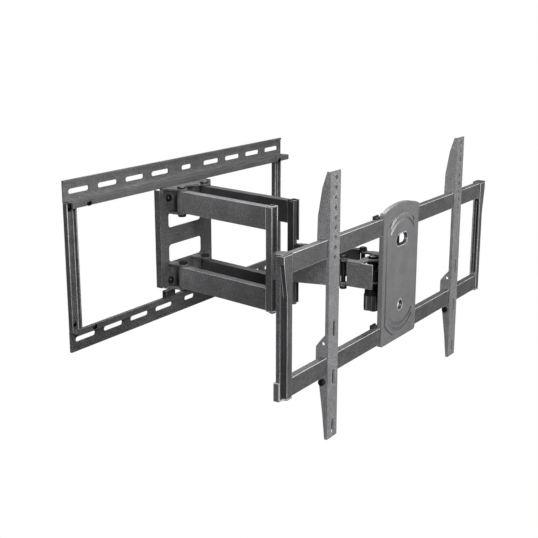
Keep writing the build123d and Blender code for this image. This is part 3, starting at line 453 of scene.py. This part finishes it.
cover = round_edges("tv_cover", 0.8, COVER_PLASTIC, COVER_EDGE_HIGHLIGHT, 2, carved_cover())
cover.data.materials.append(BLACK_PLASTIC_AND_SHADE)
for facet in cover.data.polygons:
    if facet.normal.y < -0.999:
        facet.use_smooth = False
    # the arcs' steep walls take black plastic as painted shade
    elif abs(facet.normal.y) < 0.2 and pressed(facet.center):
        facet.material_index = 2
round_edges("swivel_knob", 1.2, KNOB_PLASTIC, COVER_EDGE_HIGHLIGHT, 3)


GROOVE_DEPTH = 6.5 * MM
GROOVE_REACH = 8.5 * MM     # from the post's outer face to the groove's far wall


def paint_groove_shade(side):
    """Paints shade into the groove down an end post's corner: its floor and walls take the black coat as
    painted shade.
    """
    post = bpy.data.objects["tv_end_post_" + side + "_finished"]
    low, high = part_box("tv_end_post_" + side)
    outer = low.x if side == "left" else high.x
    post.data.materials.append(BLACK_COAT_AND_SHADE)
    for face in post.data.polygons:
        depth = face.center.y - low.y
        inset = abs(face.center.x - outer)
        level = abs(depth - GROOVE_DEPTH) < 0.5 * MM
        floor = level and face.normal.y < -0.8 and inset < GROOVE_REACH - 0.1 * MM
        inside = depth < GROOVE_DEPTH + 0.1 * MM and 0.8 * MM < inset < GROOVE_REACH + 0.1 * MM
        wall = inside and abs(face.normal.x) > 0.8
        # groove floor and walls: painted shade
        if floor or wall:
            face.material_index = 2


paint_groove_shade("left")
paint_groove_shade("right")


def slot_loop(shell, centre, half_width, half_height, depth, steps=14):
    """Round-ended loop of points in the cover's face."""
    straight = half_width - half_height
    loop = []
    for end in (1, -1):
        for step in range(steps + 1):
            angle = end * pi / 2 - pi * step / steps
            x = centre.x + end * straight + half_height * cos(angle)
            z = centre.z + half_height * sin(angle)
            loop.append(shell.verts.new((x, depth, z)))
    return loop


WINDOW_HEIGHT = 62 * MM
WINDOW_HALF = (22.9 * MM, 11.9 * MM)
HOLE_HEIGHT = -52 * MM
HOLE_HALF = (10.95 * MM, 10.9 * MM)
RIM_FRONT = 0.9 * MM        # the rim is painted black as shade behind this depth; in front of it lies the painted highlight


def cover_rim(name, centre, half_width, half_height):
    """Moulded rim just inside an opening of the cover, with a rolled front edge; its front lip is a painted
    highlight and its inner walls are painted shade.
    """
    shell = bmesh.new()
    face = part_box("tv_cover")[0].y
    rings = (
        (0.0, 2.9), (0.0, 1.1), (-0.6, 0.6), (-1.4, 0.35), (-2.2, 0.6), (-2.8, 1.4), (-4.6, 6.0), (0.0, 6.0),
    )
    loops = [slot_loop(shell, centre, half_width + inset * MM, half_height + inset * MM, face + depth * MM)
             for inset, depth in rings]
    for first, second in zip(loops, loops[1:] + loops[:1]):
        for index in range(len(first)):
            after = (index + 1) % len(first)
            shell.faces.new((first[index], first[after], second[after], second[index]))
    bmesh.ops.remove_doubles(shell, verts=shell.verts, dist=0.00001)
    bmesh.ops.recalc_face_normals(shell, faces=shell.faces)
    mesh = bpy.data.meshes.new(name)
    shell.to_mesh(mesh)
    shell.free()
    mesh.materials.append(COVER_EDGE_HIGHLIGHT)
    mesh.materials.append(BLACK_PLASTIC_AND_SHADE)
    # walls behind RIM_FRONT take black plastic as painted shade; the front lip keeps the painted highlight
    for wall in mesh.polygons:
        if wall.center.y > face + RIM_FRONT:
            wall.material_index = 1
    mesh.shade_smooth()
    mesh.set_sharp_from_angle(angle=radians(40))
    piece = bpy.data.objects.new(name, mesh)
    bpy.context.collection.objects.link(piece)
    return fit(piece, "tv_frame", "black_plastic")


cover_low, cover_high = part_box("tv_cover")
cover_middle = (cover_low.x + cover_high.x) / 2
cover_rim("cover_window_rim", Vector((cover_middle, 0, WINDOW_HEIGHT)), *WINDOW_HALF)
cover_rim("cover_hole_rim", Vector((cover_middle, 0, HOLE_HEIGHT)), *HOLE_HALF)

for node in ("shoulder_washers", "near_elbow_washers", "far_elbow_washers", "wrist_washers"):
    for holder in frame["nodes"][node].material_slots:
        holder.material = NYLON
for node in ("near_elbow_sleeves", "far_elbow_sleeves", "swivel_washers"):
    for holder in frame["nodes"][node].material_slots:
        holder.material = BLACK_COAT_AND_SHADE


# Fasteners, grown on marked points

class Tree:
    """A geometry tree under construction."""

    def __init__(self, name):
        self.tree = bpy.data.node_groups.new(name, "GeometryNodeTree")
        self.tree.interface.new_socket("Places", in_out="INPUT", socket_type="NodeSocketGeometry")
        self.tree.interface.new_socket("Piece", in_out="OUTPUT", socket_type="NodeSocketGeometry")
        self.start = self.tree.nodes.new("NodeGroupInput")
        self.end = self.tree.nodes.new("NodeGroupOutput")

    def size(self, label, value, kind="NodeSocketFloat"):
        socket = self.tree.interface.new_socket(label, in_out="INPUT", socket_type=kind)
        if value is not None:
            socket.default_value = value
        return label

    def given(self, label):
        return self.start.outputs[label]

    def add(self, kind, **inputs):
        node = self.tree.nodes.new(kind)
        for label, value in inputs.items():
            self.feed(node, label.replace("_", " "), value)
        return node

    def feed(self, node, label, value):
        if isinstance(value, bpy.types.NodeSocket):
            self.tree.links.new(value, node.inputs[label])
        else:
            node.inputs[label].default_value = value

    def maths(self, action, first, second):
        node = self.tree.nodes.new("ShaderNodeMath")
        node.operation = action
        for index, value in enumerate((first, second)):
            if isinstance(value, bpy.types.NodeSocket):
                self.tree.links.new(value, node.inputs[index])
            else:
                node.inputs[index].default_value = value
        return node.outputs[0]

    def lift(self, geometry, height):
        """Moves a shape up by a height."""
        place = self.add("ShaderNodeCombineXYZ", Z=height)
        return self.add("GeometryNodeTransform", Geometry=geometry,
                        Translation=place.outputs["Vector"]).outputs["Geometry"]

    def cone(self, sides, bottom, top, depth):
        node = self.add("GeometryNodeMeshCone", Vertices=sides, Depth=depth)
        self.feed(node, "Radius Bottom", bottom)
        self.feed(node, "Radius Top", top)
        return node.outputs["Mesh"]

    def join(self, *shapes):
        node = self.tree.nodes.new("GeometryNodeJoinGeometry")
        for shape in shapes:
            self.tree.links.new(shape, node.inputs[0])
        return node.outputs[0]

    def plant(self, shape, finish):
        """Sets the shape on each marked point, facing the way the point says."""
        points = self.add("GeometryNodeMeshToPoints", Mesh=self.given("Places"))
        facing = self.tree.nodes.new("GeometryNodeInputNamedAttribute")
        facing.data_type = "FLOAT_VECTOR"
        facing.inputs["Name"].default_value = "outward"
        turn = self.tree.nodes.new("FunctionNodeAlignRotationToVector")
        turn.axis = "Z"
        self.tree.links.new(facing.outputs["Attribute"], turn.inputs["Vector"])
        rows = self.add("GeometryNodeInstanceOnPoints", Points=points.outputs["Points"],
                        Instance=shape, Rotation=turn.outputs["Rotation"])
        solid = self.add("GeometryNodeRealizeInstances", Geometry=rows.outputs["Instances"])
        painted = self.add("GeometryNodeSetMaterial", Geometry=solid.outputs["Geometry"],
                           Material=finish)
        self.tree.links.new(painted.outputs["Geometry"], self.end.inputs["Piece"])
        return self.tree


def bolt_tree():
    """Hexagon bolt: chamfered head on a washer face, shank, and a nut on its far end."""
    grower = Tree("hexagon_bolt")
    for label, value in (("Head Radius", 0.007), ("Head Height", 0.005), ("Washer Radius", 0.008),
                         ("Shank Radius", 0.004), ("Shank Length", 0.01), ("Nut Height", 0.0)):
        grower.size(label, value)
    grower.size("Sides", 6, "NodeSocketInt")
    grower.size("Finish", None, "NodeSocketMaterial")
    radius, height = grower.given("Head Radius"), grower.given("Head Height")
    washer = grower.maths("MULTIPLY", height, 0.18)
    prism = grower.maths("MULTIPLY", height, 0.60)
    crown = grower.maths("MULTIPLY", height, 0.22)
    rim = grower.maths("MULTIPLY", radius, 0.93)
    mouth = grower.maths("MULTIPLY", radius, 0.74)
    flange = grower.cone(32, grower.given("Washer Radius"), grower.given("Washer Radius"), washer)
    head = grower.lift(grower.cone(grower.given("Sides"), radius, radius, prism), washer)
    dome = grower.lift(grower.cone(32, rim, mouth, crown), grower.maths("ADD", washer, prism))
    drop = grower.maths("MULTIPLY", grower.given("Shank Length"), -1.0)
    shank = grower.lift(grower.cone(24, grower.given("Shank Radius"), grower.given("Shank Radius"),
                                    grower.given("Shank Length")), drop)
    nut_foot = grower.maths("SUBTRACT", drop, grower.given("Nut Height"))
    nut = grower.lift(grower.cone(grower.given("Sides"), rim, rim, grower.given("Nut Height")), nut_foot)
    return grower.plant(grower.join(flange, head, dome, shank, nut), grower.given("Finish"))


def screw_tree():
    """Domed screw with a cross recess and a short shank."""
    grower = Tree("cross_recess_screw")
    for label, value in (("Head Radius", 0.005), ("Head Height", 0.003), ("Recess Width", 0.001),
                         ("Shank Radius", 0.003), ("Shank Length", 0.001)):
        grower.size(label, value)
    grower.size("Finish", None, "NodeSocketMaterial")
    radius, height = grower.given("Head Radius"), grower.given("Head Height")
    step = grower.maths("MULTIPLY", height, 0.4)
    middle = grower.maths("MULTIPLY", height, 0.35)
    top = grower.maths("MULTIPLY", height, 0.25)
    wide = grower.maths("MULTIPLY", radius, 0.96)
    narrow = grower.maths("MULTIPLY", radius, 0.84)
    crown = grower.maths("MULTIPLY", radius, 0.55)
    base = grower.cone(32, radius, wide, step)
    belt = grower.lift(grower.cone(32, wide, narrow, middle), step)
    cap = grower.lift(grower.cone(32, narrow, crown, top), grower.maths("ADD", step, middle))
    union = grower.tree.nodes.new("GeometryNodeMeshBoolean")
    union.operation = "UNION"
    for shape in (base, belt, cap):
        grower.tree.links.new(shape, union.inputs["Mesh 2"])
    bars = []
    for length, width in ((radius, grower.given("Recess Width")), (grower.given("Recess Width"), radius)):
        box = grower.add("ShaderNodeCombineXYZ", X=length, Y=width, Z=height)
        bars.append(grower.add("GeometryNodeMeshCube", Size=box.outputs["Vector"]).outputs["Mesh"])
    cross = grower.lift(grower.join(*bars), height)
    carve = grower.tree.nodes.new("GeometryNodeMeshBoolean")
    carve.operation = "DIFFERENCE"
    grower.tree.links.new(union.outputs["Mesh"], carve.inputs["Mesh 1"])
    grower.tree.links.new(cross, carve.inputs["Mesh 2"])
    drop = grower.maths("MULTIPLY", grower.given("Shank Length"), -1.0)
    shank = grower.lift(grower.cone(24, grower.given("Shank Radius"), grower.given("Shank Radius"),
                                    grower.given("Shank Length")), drop)
    return grower.plant(grower.join(carve.outputs["Mesh"], shank), grower.given("Finish"))


BOLT = bolt_tree()
SCREW = screw_tree()


def solids(node):
    """Lowest and highest corners of each separate solid in a node."""
    shell = merged(node)
    left = set(shell.verts)
    boxes = []
    while left:
        group = [left.pop()]
        found = []
        while group:
            point = group.pop()
            found.append(point.co.copy())
            for line in point.link_edges:
                other = line.other_vert(point)
                if other in left:
                    left.remove(other)
                    group.append(other)
        low = Vector([min(p[axis] for p in found) for axis in range(3)])
        high = Vector([max(p[axis] for p in found) for axis in range(3)])
        boxes.append((low, high))
    shell.free()
    boxes.sort(key=lambda pair: tuple(round(value, 5) for value in pair[0]))
    return boxes


def seat(box, outward, thickness):
    """Point where a head sits: on the box's axis, its thickness below its outer face."""
    low, high = box
    middle = (low + high) / 2
    axis = max(range(3), key=lambda index: abs(outward[index]))
    point = middle.copy()
    point[axis] = (high[axis] - thickness) if outward[axis] > 0 else (low[axis] + thickness)
    return point


def grow(name, tree, places, finish, body, slot, nodes, **sizes):
    """Grows one mesh of fasteners on its seats."""
    mesh = bpy.data.meshes.new(name)
    mesh.from_pydata([point for point, outward in places], [], [])
    facing = mesh.attributes.new("outward", "FLOAT_VECTOR", "POINT")
    for index, (point, outward) in enumerate(places):
        facing.data[index].vector = outward
    piece = bpy.data.objects.new(name, mesh)
    bpy.context.collection.objects.link(piece)
    stage = piece.modifiers.new(name, "NODES")
    stage.node_group = tree
    sizes["Finish"] = finish
    for item in tree.interface.items_tree:
        label = item.name.replace(" ", "_")
        if item.in_out == "INPUT" and label in sizes:
            stage[item.identifier] = sizes[label]
    settle(piece)
    piece.data.shade_smooth()
    piece.data.set_sharp_from_angle(angle=radians(32))
    return fit(piece, body, slot, *nodes)


ROOM, WALL, UP, DOWN = (0, -1, 0), (0, 1, 0), (0, 0, 1), (0, 0, -1)
LEFT = (-1, 0, 0)

grow("wall_post_cross_screws", SCREW,
     [(seat(box, ROOM, 2.5 * MM), ROOM) for box in solids("wall_post_screws")],
     OXIDE, "wall_plate", "black_steel", ["wall_post_screws"],
     Head_Radius=5 * MM, Head_Height=2.4 * MM, Recess_Width=1.1 * MM,
     Shank_Radius=2.5 * MM, Shank_Length=2.4 * MM)
grow("travel_stop_screws", SCREW,
     [(seat(box, ROOM, 3 * MM), ROOM) for box in solids("bracket_travel_stops")],
     OXIDE, "wall_plate", "black_steel", ["bracket_travel_stops"],
     Head_Radius=5 * MM, Head_Height=2.9 * MM, Recess_Width=1.1 * MM,
     Shank_Radius=2.95 * MM, Shank_Length=8 * MM)
grow("clamp_hexagon_bolts", BOLT,
     [(seat(box, ROOM, 5 * MM), ROOM) for box in solids("bracket_clamp_bolts")],
     OXIDE, "sliding_bracket", "black_steel", ["bracket_clamp_bolts"],
     Head_Radius=6.4 * MM, Head_Height=4.9 * MM, Washer_Radius=6.9 * MM,
     Shank_Radius=3 * MM, Shank_Length=2 * MM, Nut_Height=0.0)

shoulder_seats = []
shoulder_grip = 0.0
for low, high in solids("shoulder_pins"):
    upper = (low.z + high.z) / 2 > 0.011
    way = UP if upper else DOWN
    shoulder_grip = high.z - low.z - 9 * MM
    shoulder_seats.append((seat((low, high), way, 4 * MM), way))
grow("shoulder_hexagon_bolts", BOLT, shoulder_seats, OXIDE, "sliding_bracket", "black_steel",
     ["shoulder_pins"], Head_Radius=8.2 * MM, Head_Height=3.9 * MM, Washer_Radius=8.4 * MM,
     Shank_Radius=4.95 * MM, Shank_Length=shoulder_grip, Nut_Height=4.9 * MM)
for hand in ("near", "far"):
    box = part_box(hand + "_elbow_pin")
    low, high = Vector(box[0]), Vector(box[1])
    grow(hand + "_elbow_through_bolt", BOLT, [(seat((low, high), DOWN, 3 * MM), DOWN)], OXIDE,
         hand + "_first_arm", "black_steel", [hand + "_elbow_pin"],
         Head_Radius=5.7 * MM, Head_Height=2.9 * MM, Washer_Radius=5.7 * MM,
         Shank_Radius=3.45 * MM, Shank_Length=high.z - low.z - 3 * MM, Nut_Height=0.0)
wrist_seats = [(seat(box, UP, 4 * MM), UP) for box in solids("wrist_pins")]
wrist_box = solids("wrist_pins")[0]
grow("wrist_hexagon_bolts", BOLT, wrist_seats, OXIDE, "head", "black_steel", ["wrist_pins"],
     Head_Radius=6.6 * MM, Head_Height=3.9 * MM, Washer_Radius=6.9 * MM,
     Shank_Radius=3.95 * MM, Shank_Length=wrist_box[1].z - wrist_box[0].z - 9 * MM,
     Nut_Height=4.9 * MM)
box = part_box("swivel_bolt")
low, high = Vector(box[0]), Vector(box[1])
grow("swivel_hexagon_bolt", BOLT, [(seat((low, high), UP, 5 * MM), UP)], OXIDE, "head",
     "black_steel", ["swivel_bolt"], Head_Radius=9.4 * MM, Head_Height=4.9 * MM,
     Washer_Radius=10.9 * MM, Shank_Radius=6.9 * MM, Shank_Length=high.z - low.z - 5 * MM,
     Nut_Height=0.0)
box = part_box("tilt_bolt")
low, high = Vector(box[0]), Vector(box[1])
grow("tilt_hexagon_bolt", BOLT, [(seat((low, high), LEFT, 4 * MM), LEFT)], OXIDE, "tv_frame",
     "black_steel", ["tilt_bolt"], Head_Radius=6.8 * MM, Head_Height=3.9 * MM,
     Washer_Radius=7.4 * MM, Shank_Radius=3.95 * MM, Shank_Length=high.x - low.x - 4 * MM,
     Nut_Height=0.0)
grow("rail_cross_screws", SCREW,
     [(seat(box, WALL, 3 * MM), WALL) for box in solids("tv_rail_bolts")],
     OXIDE, "tv_frame", "black_steel", ["tv_rail_bolts"],
     Head_Radius=6 * MM, Head_Height=2.9 * MM, Recess_Width=1.3 * MM,
     Shank_Radius=3 * MM, Shank_Length=3 * MM)
for node in ("tilt_nut", "hanger_left_lock_screw", "hanger_right_lock_screw"):
    round_edges(node, 0.5, OXIDE, BLACK_EDGE_HIGHLIGHT)
